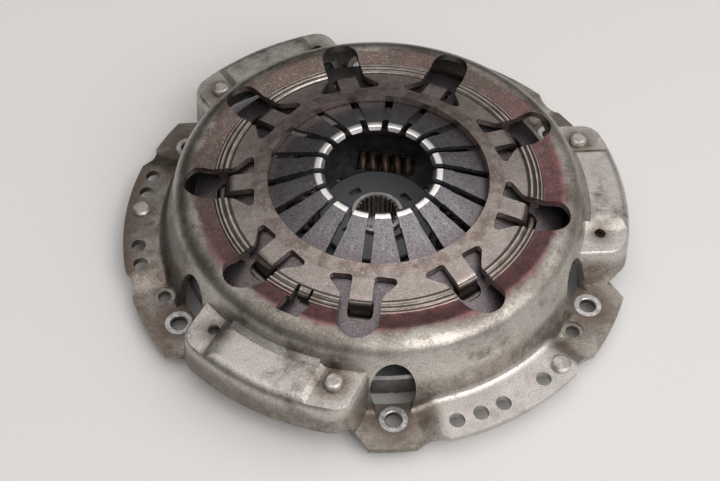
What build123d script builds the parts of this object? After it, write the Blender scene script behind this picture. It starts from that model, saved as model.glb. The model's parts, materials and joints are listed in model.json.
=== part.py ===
from build123d import *
import os
from math import asin, cos, degrees, radians, sin, sqrt, tan

os.makedirs("parts", exist_ok=True)

# Diaphragm spring clutch: cover assembly with its driven plate, not bolted to a flywheel.
# Millimetres. The origin is the centre of the flywheel mounting face and +Z points to the gearbox.
# Flange zones lie at 60, 180 and 300 degrees, the bulges for the drive straps at 0, 120 and 240.

# ---- driving dimensions: cover ----
sheet = 4.2                 # thickness of the cover's sheet
cover_r = 152.5             # outer edge of the flange
bore_r = 64.2               # bore of the cover's inner ring
ring_width = 7.4            # width of the inner ring, up to the cut-outs
bore_z = 47.9               # height of the inner ring's upper face
lobe_edge_r = 86.4          # where the lobes end and the ridges start
lobe_edge_z = 44.7
crown_foot_r = 95.4         # where the ridges end and the crown starts
crown_foot_z = 44.2
crown_r = 105.5             # inner side of the crown's flat top
crown_z = 47.7
shoulder_bend_r = 12.0      # bend between the crown and the wall
wall_foot_r = cover_r - 23.6  # wall at the height of the balance flange's upper face
wall_lean = 0.30            # inward lean of the wall, per unit of height
flange_bend_r = 4.0         # bend between the wall and the flange
balance_lift = 3.4          # balance flange above the bolt pads

# ---- driving dimensions: flange zones, angles measured from the middle of the zone ----
bolt_pitch_r = cover_r - 17.5
bolt_hole_d = 9.0
bolt_hole_break = 0.6       # rounding of the hole's upper edge, made as a chamfer
bolt_angle = 30.0
dowel_hole_d = 8.0
dowel_angle = 21.2
dowel_recess_d = 13.0
dowel_recess_depth = 0.6
balance_hole_r = cover_r - 9.3  # radius of the row of balance holes
balance_hole_d = 8.6
balance_pitch = 5.5
balance_places = (-3, -2, -1, 1, 2)
balance_rivets_at = ((180.0, -1), (300.0, 2))
balance_rivet_d = 11.0
ramp_a = (-24.6, -20.0)     # step between the first pad and the balance flange
ramp_b = (13.6, 17.2)       # step between the balance flange and the second pad
pad_end = 40.0              # pads run this far before the bulges cut them off
notch_r = 15.0              # round notch in the flange's edge at each step
notch_depth = 3.2

# ---- driving dimensions: strap bulges, seen along the radius through the middle of the bulge ----
bulge_r = cover_r - 2.2     # outer face at the mounting face's height
bulge_half = 53.5           # half the width there
bulge_corner_r = 16.0
bulge_draft = 6.0           # lean of the bulge's walls, degrees
bulge_z = 32.4              # height of the shelf
bulge_edge_r = 7.0
skirt_z = 10.6              # lower edge of the outer skirt
pad_corner = (cover_r - 21.5, 49.0)  # where a pad leaves the bulge, along and across its middle line
pad_corner_edge = (cover_r - 13.0, 64.5)
strap_r = bulge_r - 19.8    # pitch radius of the strap rivets
strap_angle = 16.0          # rivets to each side of the bulge's middle
access_hole_d = 6.4
end_drop = 2.0              # the ends of the shelf lie this much lower than its middle
low_end = (-33.5, -28.0)    # slope down to the end with the access hole, across the bulge
rivet_end = (25.0, 28.5)    # slope down to the end with the rivet
seam_rise = 2.8             # welt along the foot of the wall, between the two slopes
seam_width = 3.2

# ---- driving dimensions: windows and tabs ----
window_count = 9
window_first = 20.0         # angle of the first window
window_end_r = 112.0        # outer end of a window
window_half = 11.3
wing_half = 21.0            # half the width of the cut-out at the tab's root
wing_depth = 12.0
wing_corner_r = 2.4
lobe_corner_r = 7.0
tab_half = 6.0
tab_root_r = 2.0
tab_face_r = 88.5           # outer face of the bent tab
tab_bend_r = 6.0
foot_end_r = 96.0
foot_bend_r = 1.2
corner_open_half = 12.4     # openings in the wall beside each bolt
corner_open_top = 36.0
corner_open_mid = 16.5
corner_open_r = wall_foot_r - 3.4  # edge of the bolt pad inside the opening
tongue_angle = 240.0        # one lobe has a small tongue, bent down between the ridges
tongue_half = 3.1
tongue_face_r = 92.4
tongue_low_z = 38.6
tongue_opening = ((87.0, -5.0), (96.2, -5.0), (96.2, -7.0), (108.0, -7.0), (108.0, 6.0), (96.2, 7.2),
                  (95.0, 5.4), (87.0, 5.0))

# ---- driving dimensions: ridges and fulcrum ----
ridges = ((88.6, 1.25, 1.0), (92.0, 1.0, 0.9), (94.3, 0.6, 0.7))  # radius, half width and height
fulcrum_r = 91.0
bead_half = 2.6             # half the width of the cover's fulcrum bead

# ---- driving dimensions: diaphragm spring ----
spring_t = 2.6
spring_r = 108.0
finger_count = 18
cone_rise = 0.267           # free height gained per unit of radius, outer cone
knee_r = 62.0
finger_rise = 0.36          # the same along the fingers
polish_r = 36.8             # outer edge of the finger ends
nose_r = 33.4               # the finger ends bend down from here
tip_r = 31.3
tip_rise = 0.06
nose_fall = 0.75
slot_half = 2.5
slot_tip_half = 1.95
slot_tip_r = 43.0
slot_end_r = 83.5
slot_hole_half = 3.2
tab_hole = (82.3, 94.0)     # radial ends of the holes for the tabs
tab_hole_gap = 1.0          # room at each side of a tab
fulcrum_z = 36.1            # upper face of the free spring at the fulcrum

# ---- driving dimensions: pivot ring, pressure plate and straps ----
ring_wire_d = 4.0
play = 0.3                  # gap between pieces that move against each other
plate_r = 119.0
plate_bore_r = 76.0
plate_face_z = 5.5          # friction face, cover not bolted down
plate_t = 14.0
plate_edge_break = 1.5
seat_r = 105.0              # bead that carries the spring
seat_half_top = 1.6
seat_half_foot = 3.6
seat_gap_angle = 9.0        # vents between the bead's segments
lug_r = 8.5
lug_inner_r = 108.0
lug_foot_z = 9.5
strap_leaves = 3
strap_leaf_t = 0.8
strap_half = 9.0
strap_end = 7.2             # from the rivet's centre to the end of a strap
strap_corner_r = 5.0
strap_hole_d = 8.0
strap_flat = 11.0           # flat end of a strap, measured from the rivet's centre
rivet_head_d = 10.6
rivet_head_t = 3.6
shop_head_d = 12.0
shop_head_t = 2.0
fit = 0.05                  # radial room of a rivet in its hole

# ---- driving dimensions: driven plate ----
disc_mid_z = 1.0            # middle plane of the driven plate
disc_r = 115.0
facing_bore_r = 75.0
facing_t = 3.7
cushion_t = 1.0
groove_count = 16
groove_half = 1.2
groove_depth = 1.0
facing_rivet_rows = (84.0, 106.0)
facing_rivet_count = 8
facing_rivet_d = 3.6
facing_rivet_head_d = 8.0
facing_rivet_sink = 1.6
cushion_slot_half = 1.5
cushion_bore_r = 61.2
side_plate_t = 2.0
side_plate_r = 68.5
side_gap = 0.8              # friction washers between the hub flange and the side plates
hub_flange_t = 3.6
hub_flange_r = 60.6
hub_r = 15.4
hub_low = 5.4               # hub below the middle plane
hub_high = 13.0             # hub above it
spline_count = 24
spline_minor_r = 11.3
spline_major_r = 12.8
spline_gap = (1.05, 0.62)    # half width of a spline gap at the centre and at its outer end
spring_pitch_r = 46.0
spring_first = 79.0
damper_count = 4
coil_d = 18.0
coil_wire_d = 4.2
coil_turns = 4.75
coil_length = 36.0
idle_angle = 5.0            # free turn of the hub before the dampers load
stop_pin_d = 9.0
stop_pin_neck_d = 6.0
lip_t = 1.6
lip_start = 3.5             # the rolled lip begins this far outside the spring's centre
hub_cover_r = 35.0
hub_cover_h = 3.6
hub_cover_t = 1.4
cover_slot = (22.0, 4.5, 7.5)  # slots of the hub cover: pitch radius, width and length
sight_hole = (38.6, 2.1)    # round holes between the springs: pitch radius and hole radius
stop_pin_r = 63.2
stop_first = spring_first - 45.0
washer_r = (19.0, 25.0)
bush_r = 18.0


def at(angle, shape):
    return Rot(0, 0, angle) * shape


def around(count, first, shape):
    step = 360 / count
    return [at(first + i * step, shape) for i in range(count)]


def cylinder(radius, low, high):
    return Pos(0, 0, low) * extrude(Circle(radius), amount=high - low)


def tube(inner, outer, low, high):
    return Pos(0, 0, low) * extrude(Circle(outer) - Circle(inner), amount=high - low)


def upright(outline):
    """Face in the plane of X and Z from a closed wire drawn in X and Y."""
    return Plane.XZ * make_face(outline)


def turned(points, arc=360, radius=0):
    """Solid of revolution about Z from (radius, height) points."""
    if radius:
        wire = FilletPolyline(*points, radius=radius, close=True)
    else:
        wire = Polyline(*points, close=True)
    return revolve(upright(wire), axis=Axis.Z, revolution_arc=arc)


def turn_of(before, corner, after):
    return (corner[0] - before[0]) * (after[1] - corner[1]) - (corner[1] - before[1]) * (after[0] - corner[0])


def sheet_lines(points, radii, thickness):
    """Upper and lower line of a bent sheet. The points run along its upper face, outward."""
    normals = []
    for (x0, y0), (x1, y1) in zip(points, points[1:]):
        length = sqrt((x1 - x0) ** 2 + (y1 - y0) ** 2)
        normals.append(((y1 - y0) / length, (x0 - x1) / length))
    under = []
    under_radii = []
    for i, (x, y) in enumerate(points):
        first = normals[max(i - 1, 0)]
        second = normals[min(i, len(normals) - 1)]
        share = thickness / (1 + first[0] * second[0] + first[1] * second[1])
        under.append((x + share * (first[0] + second[0]), y + share * (first[1] + second[1])))
        if 0 < i < len(points) - 1:
            inside = turn_of(points[i - 1], points[i], points[i + 1]) < 0
            radius = radii[i - 1]
            under_radii.append(max(radius - thickness, 0.4) if inside else radius + thickness)
    return FilletPolyline(*points, radius=radii), FilletPolyline(*under, radius=under_radii)


def sheet_section(points, radii, thickness):
    top, bottom = sheet_lines(points, radii, thickness)
    outline = Curve() + [top, Line(top @ 1, bottom @ 1), bottom, Line(bottom @ 0, top @ 0)]
    return upright(outline)


def section_under(line):
    """Section between a line that runs outward and the mounting face."""
    start = line @ 0
    end = line @ 1
    floor = Polyline((end.X, end.Y), (end.X + (end.Y + 1) * wall_lean, -1), (0, -1), (0, start.Y),
                     (start.X, start.Y))
    return upright(Curve() + [line, floor])


def wall_r(z):
    """Outer radius of the leaning wall at a height."""
    return wall_foot_r - wall_lean * (z - sheet - balance_lift)


wall_low_z = 21.0
dome_line = [(bore_r, bore_z), (lobe_edge_r, lobe_edge_z), (crown_foot_r, crown_foot_z),
             (crown_r, crown_z), (wall_r(crown_z), crown_z), (wall_r(wall_low_z), wall_low_z)]
dome_bends = [3.0, 5.0, 8.0, shoulder_bend_r]
shelf_under = bulge_z - sheet
seat_z = bulge_z - end_drop


def lobe_z(r):
    """Upper face of the lobes at a radius."""
    return bore_z + (lobe_edge_z - bore_z) * (r - bore_r) / (lobe_edge_r - bore_r)


def bulge_block(inset, low):
    """Block with the shape of a bulge, its walls moved in by the inset."""
    lean = tan(radians(bulge_draft))
    half = bulge_half - inset - low * lean
    outer = bulge_r - inset - low * lean
    inner_x = 104.0
    plan = Pos((inner_x + 200) / 2, 0) * Rectangle(200 - inner_x, 2 * half) & Circle(outer)
    corners = plan.vertices().sort_by(Axis.X)[-2:]
    plan = fillet(corners, bulge_corner_r - inset)
    block = Pos(0, 0, low) * extrude(plan, amount=bulge_z - inset - low, taper=bulge_draft)
    rim = block.faces().sort_by(Axis.Z)[-1].edges().filter_by(lambda edge: edge.center().X > inner_x + 4)
    return fillet(rim, bulge_edge_r - inset)


def flange_section(lift):
    """Foot of the wall and the flange, the flange lifted over the mounting face."""
    top = sheet + lift
    points = [(wall_r(wall_low_z), wall_low_z), (wall_r(top), top), (cover_r, top)]
    return sheet_section(points, [flange_bend_r], sheet)


def flange_sector(lift, start, end):
    return at(start, revolve(flange_section(lift), axis=Axis.Z, revolution_arc=end - start))


def ramp(lift_start, lift_end, start, end):
    first = Rot(0, 0, start) * flange_section(lift_start)
    second = Rot(0, 0, end) * flange_section(lift_end)
    return loft([first.face(), second.face()], ruled=True)


def flange_zone():
    """One third of the flange, about the X axis: pad, step, balance flange, step, pad."""
    zone = flange_sector(0, -pad_end, ramp_a[0])
    zone += ramp(0, balance_lift, *ramp_a)
    zone += flange_sector(balance_lift, ramp_a[1], ramp_b[0])
    zone += ramp(balance_lift, 0, *ramp_b)
    zone += flange_sector(0, ramp_b[1], pad_end)
    cuts = []
    for low, high in (ramp_a, ramp_b):
        place = cover_r - notch_depth + notch_r
        cuts.append(at((low + high) / 2, Pos(place, 0) * cylinder(notch_r, -1, 20)))
    hole = Pos(bolt_pitch_r, 0) * cylinder(bolt_hole_d / 2, -1, 20)
    lip = Pos(bolt_pitch_r, 0, sheet - bolt_hole_break) * Cone(
        bolt_hole_d / 2, bolt_hole_d / 2 + 2 * bolt_hole_break, 2 * bolt_hole_break,
        align=(Align.CENTER, Align.CENTER, Align.MIN))
    for side in (-1, 1):
        cuts += [at(side * bolt_angle, hole), at(side * bolt_angle, lip)]
    cuts.append(at(dowel_angle, Pos(bolt_pitch_r, 0) * cylinder(dowel_hole_d / 2, -1, 20)))
    recess = Pos(bolt_pitch_r, 0) * cylinder(dowel_recess_d / 2, sheet - dowel_recess_depth, 20)
    cuts.append(at(dowel_angle, recess))
    hole = Pos(balance_hole_r, 0) * cylinder(balance_hole_d / 2, -1, 20)
    cuts += [at(place * balance_pitch, hole) for place in balance_places]
    return zone - cuts


def pad_corner_cut():
    """Removes the flange in front of a bulge and clips the corners of the pads beside it."""
    x, y = pad_corner
    edge_x, edge_y = pad_corner_edge
    plan = make_face(Polyline((x, y), (edge_x, edge_y), (edge_x + 40, edge_y), (edge_x + 40, -edge_y),
                              (edge_x, -edge_y), (x, -y), close=True))
    return extrude(plan, amount=20)


def corner_opening():
    """Opening in the wall beside a bolt at angle zero, open down to the pad."""
    depth = wall_r(0) + flange_bend_r + 6
    arch = Pos(0, corner_open_mid) * Ellipse(corner_open_half, corner_open_top - corner_open_mid)
    through = extrude(Plane.YZ * arch, amount=depth)
    front = Pos(104 + 50, 0, 50) * Box(100, 100, 100)
    above = Pos(0, 0, 50 + sheet) * Box(400, 100, 100)
    pad = Pos(0, 0, sheet - 40) * Box(400, 100, 80) & cylinder(corner_open_r, -1, sheet)
    inner = front & through
    return (inner & above) + (inner & pad)


def window_plan():
    """Cut-out of one window about the X axis, leaving the tab's root in place."""
    root = bore_r + ring_width
    points = [(root, -wing_half), (root, wing_half), (root + wing_depth, window_half),
              (window_end_r, window_half), (window_end_r, -window_half), (root + wing_depth, -window_half)]
    end = window_half - 0.05
    radii = [wing_corner_r, wing_corner_r, lobe_corner_r, end, end, lobe_corner_r]
    outline = make_face(FilletPolyline(*points, radius=radii, close=True))
    tab = Pos((root + tab_face_r) / 2, 0) * Rectangle(tab_face_r - root - sheet, 2 * tab_half)
    tab = Pos(-sheet / 2 - 1, 0) * tab
    plan = outline - tab
    roots = plan.vertices().filter_by(lambda v: abs(v.X - root) < 0.01 and abs(abs(v.Y) - tab_half) < 0.01)
    return fillet(roots, tab_root_r)


def pivot_wire_z():
    """Centre of the pivot ring, which the underside of the spring touches."""
    cone = sqrt(1 + cone_rise ** 2)
    return fulcrum_z - (spring_t + ring_wire_d / 2 + 0.02) * cone


def bent_tab():
    """Tab that leaves the inner ring, passes down through the spring and hooks under the pivot ring."""
    start = bore_r + ring_width - 1.5
    foot_z = pivot_wire_z() - ring_wire_d / 2 - 0.02
    points = [(start, lobe_z(start)), (tab_face_r, lobe_z(tab_face_r)), (tab_face_r, foot_z),
              (foot_end_r, foot_z)]
    band = revolve(sheet_section(points, [tab_bend_r, foot_bend_r], sheet), axis=Axis.Z, revolution_arc=12)
    end = Pos(foot_end_r - tab_half, 0) * Circle(tab_half)
    strip = Pos((foot_end_r - tab_half) / 2, 0) * Rectangle(foot_end_r - tab_half, 2 * tab_half)
    return at(-6, band) & extrude(strip + end, amount=60)


def tongue():
    """Small tongue of one lobe, bent down, about the X axis."""
    start = tongue_opening[0][0] - 2
    points = [(start, lobe_z(start)), (tongue_face_r, lobe_z(tongue_face_r)), (tongue_face_r, tongue_low_z)]
    band = revolve(sheet_section(points, [5.0], sheet), axis=Axis.Z, revolution_arc=8)
    strip = Pos(tongue_face_r / 2, 0, 30) * Box(tongue_face_r + 10, 2 * tongue_half, 60)
    return at(-4, band) & strip


def ridge(r, half, height):
    """Coined ring on the upper face."""
    base = lobe_edge_z + (crown_foot_z - lobe_edge_z) * (r - lobe_edge_r) / (crown_foot_r - lobe_edge_r)
    low = base - 1
    high = base + height
    flat = half * 0.45
    return turned([(r - half, low), (r - half, base), (r - flat, high), (r + flat, high), (r + half, base),
                   (r + half, low)])


def fulcrum_bead():
    """Bead under the ridges that the spring rocks on."""
    cone = sqrt(1 + cone_rise ** 2)
    centre_z = fulcrum_z + (bead_half + 0.02) * cone
    top = lobe_edge_z - sheet / 2
    ball = Pos(fulcrum_r, centre_z) * Circle(bead_half)
    neck = Pos(fulcrum_r, (centre_z + top) / 2) * Rectangle(2 * bead_half, top - centre_z)
    return revolve(Plane.XZ * (ball + neck), axis=Axis.Z)


def strap_place(side):
    angle = radians(strap_angle)
    return strap_r * cos(angle), side * strap_r * sin(angle)


def step_down(slope, outer, height):
    """Block over the lowered end of a shelf whose middle lies at the height, about the X axis."""
    near, far = slope
    low = height - end_drop
    side = make_face(Polyline((near, height), (far, low), (outer, low), (outer, height + 20),
                              (near, height + 20), close=True))
    return Pos(100, 0) * extrude(Plane.YZ * side, amount=80)


def bulge_cuts():
    """Steps, rivet hole and access hole in the shelf of the bulge about X, and its raised skirt."""
    x, y = strap_place(1)
    far, near = low_end
    steps = [step_down((near, far), -90, bulge_z), step_down(rivet_end, 90, bulge_z)]
    rivet_hole = Pos(x, y) * cylinder(strap_hole_d / 2, shelf_under - 5, bulge_z)
    access_hole = Pos(x, -y) * cylinder(access_hole_d / 2, shelf_under - 5, bulge_z + 1)
    inner, across = pad_corner
    side = make_face(Polyline((inner, -2), (inner, sheet), (inner + 6, skirt_z), (200, skirt_z), (200, -2),
                              close=True))
    skirt = Pos(0, 100) * extrude(Plane.XZ * side, amount=200)
    return steps + [rivet_hole, access_hole, skirt]


def bulge_hollow():
    """Inner side of the bulge about the X axis, lower where the straps are riveted on."""
    near, far = rivet_end
    under = step_down((near - 1.5, far - 1.5), 90, shelf_under)
    return bulge_block(sheet, -1) - under


def seam_welt():
    """Welt where the shelf of the bulge about X meets the wall."""
    foot = wall_r(bulge_z)
    points = [(foot - 2, bulge_z - 1), (foot - 2, bulge_z + seam_rise),
              (wall_r(bulge_z + seam_rise) - 0.2, bulge_z + seam_rise),
              (foot + 0.35 * seam_width, bulge_z + 0.45 * seam_rise), (foot + seam_width, bulge_z - 0.2),
              (foot + seam_width, bulge_z - 1)]
    start = degrees(asin(low_end[1] / foot))
    end = degrees(asin(rivet_end[0] / foot))
    return at(start, turned(points, arc=end - start))


def cover():
    top, bottom = sheet_lines(dome_line, dome_bends, sheet)
    room = revolve(section_under(bottom), axis=Axis.Z)
    clip = pad_corner_cut()
    zone = flange_zone() - [at(-60, clip), at(60, clip)]
    bulge = bulge_block(0, 0) - bulge_cuts() - room
    body = revolve(sheet_section(dome_line, dome_bends, sheet), axis=Axis.Z)
    for place in ridges:
        body += ridge(*place)
    body += fulcrum_bead()
    for piece in around(3, 60, zone) + around(3, 0, bulge):
        body += piece
    cuts = around(3, 0, bulge_hollow())
    for side in (-1, 1):
        cuts += around(3, 60 + side * bolt_angle, corner_opening())
    window = Pos(0, 0, 30) * extrude(window_plan(), amount=30)
    cuts += around(window_count, window_first, window)
    opening = make_face(FilletPolyline(*tongue_opening, radius=0.9, close=True))
    cuts.append(at(tongue_angle, Pos(0, 0, 30) * extrude(opening, amount=30)))
    for cut in cuts:
        body -= cut
    for tab in around(window_count, window_first, bent_tab()) + [at(tongue_angle, tongue())]:
        body += tab
    for welt in around(3, 0, seam_welt()):
        body += welt
    return body


def balance_rivet():
    """Rivet in a balance hole at angle zero."""
    top = sheet + balance_lift
    head = balance_rivet_d / 2
    neck = balance_hole_d / 2 - fit
    tail = head - 0.4
    points = [(0, balance_lift - 1.6), (tail, balance_lift - 1.6), (tail, balance_lift),
              (neck, balance_lift), (neck, top), (head, top), (head, top + 1.5), (head - 1.3, top + 2.6),
              (0, top + 2.6)]
    return Pos(balance_hole_r, 0) * turned(points)


def balance_rivets():
    return [at(zone + place * balance_pitch, balance_rivet()) for zone, place in balance_rivets_at]


def diaphragm_spring():
    knee_z = fulcrum_z + cone_rise * (fulcrum_r - knee_r)
    polish_z = knee_z + finger_rise * (knee_r - polish_r)
    nose_z = polish_z + tip_rise * (polish_r - nose_r)
    points = [(tip_r, nose_z - nose_fall * (nose_r - tip_r)), (nose_r, nose_z), (polish_r, polish_z),
              (knee_r, knee_z), (spring_r, fulcrum_z - cone_rise * (spring_r - fulcrum_r))]
    body = revolve(sheet_section(points, [2.4, 6.0, 20.0], spring_t), axis=Axis.Z)
    flare = slot_tip_half + 0.6
    slot = make_face(Polyline(
        (tip_r - 4, flare), (tip_r, flare), (tip_r + 0.8, slot_tip_half), (slot_tip_r, slot_tip_half),
        (slot_tip_r + 1, slot_half), (slot_end_r, slot_half), (slot_end_r, -slot_half),
        (slot_tip_r + 1, -slot_half), (slot_tip_r, -slot_tip_half), (tip_r + 0.8, -slot_tip_half),
        (tip_r, -flare), (tip_r - 4, -flare), close=True))
    plain = slot + Pos(slot_end_r, 0) * Circle(slot_hole_half)
    half = tab_half + tab_hole_gap
    low, high = tab_hole
    points = [(low, -half), (high, -half), (high, half), (low, half)]
    hole = slot + make_face(FilletPolyline(*points, radius=[2.5, 5.0, 5.0, 2.5], close=True))
    cuts = []
    step = 360 / finger_count
    for i in range(finger_count):
        plan = hole if i % 2 else plain
        cuts.append(at(window_first - step + i * step, Pos(0, 0, 20) * extrude(plan, amount=50)))
    return body - cuts


def pivot_ring():
    return revolve(Plane.XZ * (Pos(fulcrum_r, pivot_wire_z()) * Circle(ring_wire_d / 2)), axis=Axis.Z)


def pressure_plate():
    face = plate_face_z
    top = face + plate_t
    cone = sqrt(1 + cone_rise ** 2)
    seat_z = fulcrum_z - spring_t * cone - cone_rise * (seat_r - fulcrum_r) - play - 0.1
    edge = plate_edge_break
    points = [(plate_bore_r, face), (plate_r - edge / 2, face), (plate_r, face + edge / 2),
              (plate_r, top - edge), (plate_r - edge, top), (seat_r + seat_half_foot, top),
              (seat_r + seat_half_top + 0.6, seat_z - 1.2), (seat_r + seat_half_top - 0.6, seat_z),
              (seat_r - seat_half_top + 0.6, seat_z),
              (seat_r - seat_half_top - 0.6, seat_z - 1.2), (seat_r - seat_half_foot, top),
              (plate_bore_r + 6, top), (plate_bore_r, top - 5)]
    casting = turned(points)
    width = 2 * seat_r * sin(radians(seat_gap_angle / 2))
    gap = Pos(seat_r, 0, top + 10) * Box(3 * seat_half_foot, width, 20)
    casting -= around(window_count, window_first, gap)
    lug = Pos((lug_inner_r + strap_r) / 2, 0) * Rectangle(strap_r - lug_inner_r, 2 * lug_r)
    lug += Pos(strap_r, 0) * Circle(lug_r)
    plan = Circle(plate_r - edge) + around(3, -strap_angle, lug)
    corners = plan.vertices().filter_by(lambda v: sqrt(v.X ** 2 + v.Y ** 2) < plate_r)
    plan = fillet(corners, 5.0) - Circle(lug_inner_r)
    casting += Pos(0, 0, lug_foot_z) * extrude(plan, amount=top - lug_foot_z)
    hole = Pos(strap_r, 0) * cylinder(strap_hole_d / 2, 0, 40)
    return casting - around(3, -strap_angle, hole)


def strap_heights():
    """Underside of a strap pack at the plate's lug and at the cover."""
    return plate_face_z + plate_t + 0.1, seat_z - sheet - strap_leaves * strap_leaf_t


def strap_pack():
    """Pack of leaves in the bulge about the X axis."""
    x, y = strap_place(1)
    low, high = strap_heights()
    end = y + strap_end
    flat = y - strap_flat
    plan = RectangleRounded(2 * strap_half, 2 * end, strap_corner_r)
    plan -= [Pos(0, side * y) * Circle(strap_hole_d / 2 + 0.1) for side in (-1, 1)]
    outline = extrude(Pos(x, 0) * plan, amount=60)
    leaves = []
    for i in range(strap_leaves):
        base = [(-end, low), (-flat, low), (flat, high), (end, high)]
        lower = [(p, q + i * strap_leaf_t) for p, q in base]
        upper = [(p, q + strap_leaf_t) for p, q in reversed(lower)]
        side = make_face(Polyline(*lower, *upper, close=True))
        band = Pos(x - strap_half - 1, 0) * extrude(Plane.YZ * side, amount=2 * strap_half + 2)
        leaves.append(band & outline)
    return leaves


def strap_cover_rivet():
    """Rivet through the shelf and the strap pack, at the origin's axis."""
    low = strap_heights()[1]
    seat = seat_z
    neck = strap_hole_d / 2 - fit
    head = rivet_head_d / 2
    tail = shop_head_d / 2
    top = seat + rivet_head_t
    points = [(0, low - shop_head_t), (tail - 0.8, low - shop_head_t), (tail, low - shop_head_t + 0.8),
              (tail, low), (neck, low), (neck, seat), (head, seat), (head, top - 2.0),
              (head - 0.7, top - 0.6), (head - 2.0, top), (0, top)]
    return turned(points)


def strap_plate_rivet():
    """Rivet through the strap pack and the plate's lug, at the origin's axis."""
    low = strap_heights()[0] + strap_leaves * strap_leaf_t + fit
    foot = lug_foot_z
    neck = strap_hole_d / 2 - fit
    tail = shop_head_d / 2
    head = rivet_head_d / 2
    top = low + shop_head_t
    points = [(0, foot - shop_head_t), (head, foot - shop_head_t), (head, foot), (neck, foot), (neck, low),
              (tail, low), (tail, top - 0.8), (tail - 0.8, top), (0, top)]
    return turned(points)


def save(shapes, name):
    if isinstance(shapes, list):
        shapes = Compound(children=[shape.solid() for shape in shapes])
    export_step(shapes, f"parts/{name}.step")


def write_cover_assembly():
    save(cover(), "cover")
    save(balance_rivets(), "balance_rivets")
    save(diaphragm_spring(), "diaphragm_spring")
    save(pivot_ring(), "pivot_ring")
    save(pressure_plate(), "pressure_plate")
    x, y = strap_place(1)
    for i in range(3):
        save([at(120 * i, leaf) for leaf in strap_pack()], f"drive_straps_{i + 1}")
    save(around(3, 0, Pos(x, y) * strap_cover_rivet()), "strap_cover_rivets")
    save(around(3, 0, Pos(x, -y) * strap_plate_rivet()), "strap_plate_rivets")


# ---- driven plate ----
flange_low_z = disc_mid_z - cushion_t / 2 + side_gap
flange_top_z = flange_low_z + hub_flange_t
damper_z = (flange_low_z + flange_top_z) / 2
retainer_z = flange_top_z + side_gap
window_length_half = coil_length / 2 + play


def hub():
    plan = Circle(hub_flange_r)
    room = (spring_pitch_r + coil_d / 2) * tan(radians(idle_angle)) + 2 * play
    swing = coil_length / 2 * sin(radians(idle_angle)) + play
    far_corner = sqrt((spring_pitch_r + coil_d / 2) ** 2 + (coil_length / 2) ** 2)
    window = Pos(spring_pitch_r, 0) * Rectangle(coil_d + 2 * swing, coil_length + 2 * room)
    window &= Circle(far_corner + play)
    plan -= around(damper_count, spring_first, window)
    reach = degrees(asin(stop_pin_d / 2 / stop_pin_r)) + idle_angle + 0.5
    notch = Circle(stop_pin_r + 10) - Circle(stop_pin_r - stop_pin_d / 2 - 0.6)
    spread = 90 * tan(radians(reach))
    wedge = make_face(Polyline((0, 0), (90, -spread), (90, spread), close=True))
    plan -= around(damper_count, stop_first, notch & wedge)
    flange = Pos(0, 0, flange_low_z) * extrude(plan, amount=hub_flange_t)
    barrel = cylinder(hub_r, disc_mid_z - hub_low, disc_mid_z + hub_high)
    root, crest = spline_gap
    gap = make_face(Polyline((0, -root), (spline_major_r, -crest), (spline_major_r, crest), (0, root),
                             close=True))
    bore = Circle(spline_minor_r) + around(spline_count, 0, gap)
    cut = Pos(0, 0, -40) * extrude(bore, amount=80)
    return flange + barrel - cut


def side_plate(low, lips):
    """Side plate with a window for each damper spring and a rolled lip along its outer side."""
    plan = Circle(side_plate_r) - Circle(bush_r + 0.05)
    half = coil_d / 2 + play
    depth = min(abs(low - damper_z), abs(low + side_plate_t - damper_z))
    width = sqrt(half ** 2 - depth ** 2)
    window = Pos(spring_pitch_r, 0) * Rectangle(2 * width, 2 * window_length_half)
    plan -= around(damper_count, spring_first, window)
    plan -= around(damper_count, stop_first, Pos(stop_pin_r, 0) * Circle(stop_pin_neck_d / 2 + fit))
    place, hole = sight_hole
    plan -= around(damper_count, stop_first, Pos(place, 0) * Circle(hole))
    plate = Pos(0, 0, low) * extrude(plan, amount=side_plate_t)
    rolled = Circle(half + lip_t) - Circle(half) - Pos(lip_start - 30, 0) * Rectangle(60, 60)
    rolled -= Pos(0, -20 * lips) * Rectangle(60, 40)
    rolled = extrude(Plane.XZ * rolled, amount=2 * window_length_half)
    lip = Pos(spring_pitch_r, window_length_half, damper_z) * rolled
    lip -= Pos(0, 0, low - 20 if lips > 0 else low + side_plate_t + 20) * Box(200, 200, 40)
    return plate + around(damper_count, spring_first, lip)


def damper_springs():
    pitch = (coil_length - coil_wire_d) / coil_turns
    path = Helix(pitch=pitch, height=pitch * coil_turns, radius=(coil_d - coil_wire_d) / 2)
    section = Plane(origin=path @ 0, z_dir=path % 0) * RegularPolygon(coil_wire_d / 2, 8)
    coil = Pos(0, 0, -pitch * coil_turns / 2) * sweep(section, path=path)
    lying = Pos(spring_pitch_r, 0, damper_z) * (Rot(90, 0, 0) * coil)
    return around(damper_count, spring_first, lying)


def stop_pins():
    low = disc_mid_z - cushion_t / 2 - side_plate_t
    seat = disc_mid_z + cushion_t / 2
    neck = stop_pin_neck_d / 2
    body = stop_pin_d / 2
    top = retainer_z + side_plate_t
    points = [(0, low - 1.0), (body, low - 1.0), (body, low), (neck, low), (neck, seat), (body, seat),
              (body, retainer_z), (neck, retainer_z), (neck, top), (body, top), (body - 1.0, top + 1.2),
              (0, top + 1.2)]
    return around(damper_count, stop_first, Pos(stop_pin_r, 0) * turned(points))


def friction_washers():
    inner, outer = washer_r
    lower = tube(inner, outer, disc_mid_z - cushion_t / 2, flange_low_z)
    return [lower, tube(inner, outer, flange_top_z, retainer_z)]


def centring_bush():
    low = disc_mid_z - cushion_t / 2 - side_plate_t
    shape = tube(hub_r + fit, bush_r, low, disc_mid_z - cushion_t / 2)
    return shape + tube(hub_r + fit, bush_r + 3, low - 1.2, low)


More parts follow.
